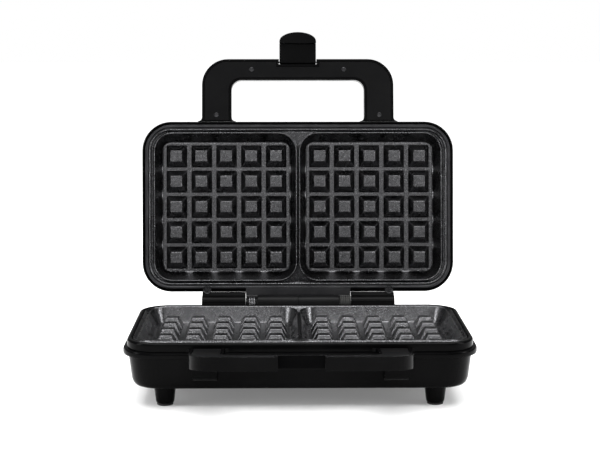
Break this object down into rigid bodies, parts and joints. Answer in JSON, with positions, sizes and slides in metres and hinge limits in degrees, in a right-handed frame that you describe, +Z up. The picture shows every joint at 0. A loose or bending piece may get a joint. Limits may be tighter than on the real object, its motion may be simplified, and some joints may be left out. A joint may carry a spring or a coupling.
{
  "type": "double waffle maker",
  "caption": "Electric waffle maker with two square-pegged baking cavities, a lid hinged at the back, U-shaped handles and a latch, shown open.",
  "frame": {"origin": "centre of the open appliance's bounding box, at the height of the worktop that the feet stand on", "axes": "+X to the user's right, -Y towards the handles and the user, +Z up"},
  "size_m": [0.315, 0.3106, 0.3262],
  "materials": {
    "black_plastic": "black moulded plastic with a soft gloss",
    "satin_plastic": "black plastic, fine satin grain",
    "nonstick_coating": "cast aluminium under a dark grey speckled non-stick coating",
    "grey_trim": "dark grey painted sheet metal",
    "bright_steel": "bright drawn steel",
    "screw_steel": "blackened screw steel",
    "element_steel": "heat-dulled steel sheath",
    "tray_steel": "aluminised sheet steel",
    "rubber": "matt black rubber",
    "ceramic": "unglazed off-white steatite",
    "red_lens": "clear red lens",
    "green_lens": "clear green lens",
    "lamp_glass": "clear lamp glass"
  },
  "bodies": {
    "base": {"base_housing": "black_plastic", "base_rim_frame": "black_plastic", "base_handle": "black_plastic", "foot_front_left": "black_plastic", "foot_front_right": "black_plastic", "foot_rear_left": "black_plastic", "foot_rear_right": "black_plastic", "bottom_cover": "satin_plastic", "base_handle_cover": "satin_plastic", "hinge_block": "satin_plastic", "lower_plate": "nonstick_coating", "hinge_pin": "bright_steel", "hinge_spring": "bright_steel", "lower_element_strap_left": "bright_steel", "lower_element_strap_right": "bright_steel", "bottom_screw_1": "screw_steel", "bottom_screw_2": "screw_steel", "bottom_screw_3": "screw_steel", "bottom_screw_4": "screw_steel", "base_handle_screw_left": "screw_steel", "base_handle_screw_right": "screw_steel", "lower_heating_element": "element_steel", "lower_heat_tray": "tray_steel", "foot_pad_front_left": "rubber", "foot_pad_front_right": "rubber", "foot_pad_rear_left": "rubber", "foot_pad_rear_right": "rubber", "cord_gland": "rubber", "lead_collar_base": "rubber", "lower_thermostat": "ceramic", "lower_thermal_fuse": "ceramic", "terminal_block": "ceramic"},
    "lid": {"lid_housing": "black_plastic", "lid_rim_frame": "grey_trim", "upper_plate": "nonstick_coating", "upper_heating_element": "element_steel", "upper_element_strap_left": "bright_steel", "upper_element_strap_right": "bright_steel", "upper_heat_tray": "tray_steel", "upper_thermal_fuse": "ceramic", "lid_handle": "black_plastic", "lid_handle_cover": "satin_plastic", "lid_handle_bar_screw_left": "screw_steel", "lid_handle_bar_screw_right": "screw_steel", "lid_handle_leg_screw_left": "screw_steel", "lid_handle_leg_screw_right": "screw_steel", "latch_pin": "bright_steel", "power_lens": "red_lens", "power_lamp": "lamp_glass", "ready_lens": "green_lens", "ready_lamp": "lamp_glass", "lid_hinge_arm_left": "black_plastic", "lid_hinge_arm_right": "black_plastic", "lid_arm_screw_left": "screw_steel", "lid_arm_screw_right": "screw_steel", "lid_hinge_plate": "grey_trim", "lead_collar_lid": "rubber"},
    "latch": {"latch": "black_plastic"}
  },
  "joints": [
    {"name": "lid_hinge", "type": "hinge", "parent": "base", "child": "lid", "pos_m": [0, 0.09003, 0.0576], "axis": [1, 0, 0], "range_deg": [0, 98.4]},
    {"name": "latch_hinge", "type": "hinge", "parent": "lid", "child": "latch", "pos_m": [0, 0.13639, 0.29624], "axis": [1, 0, 0], "range_deg": [0, 90]}
  ]
}
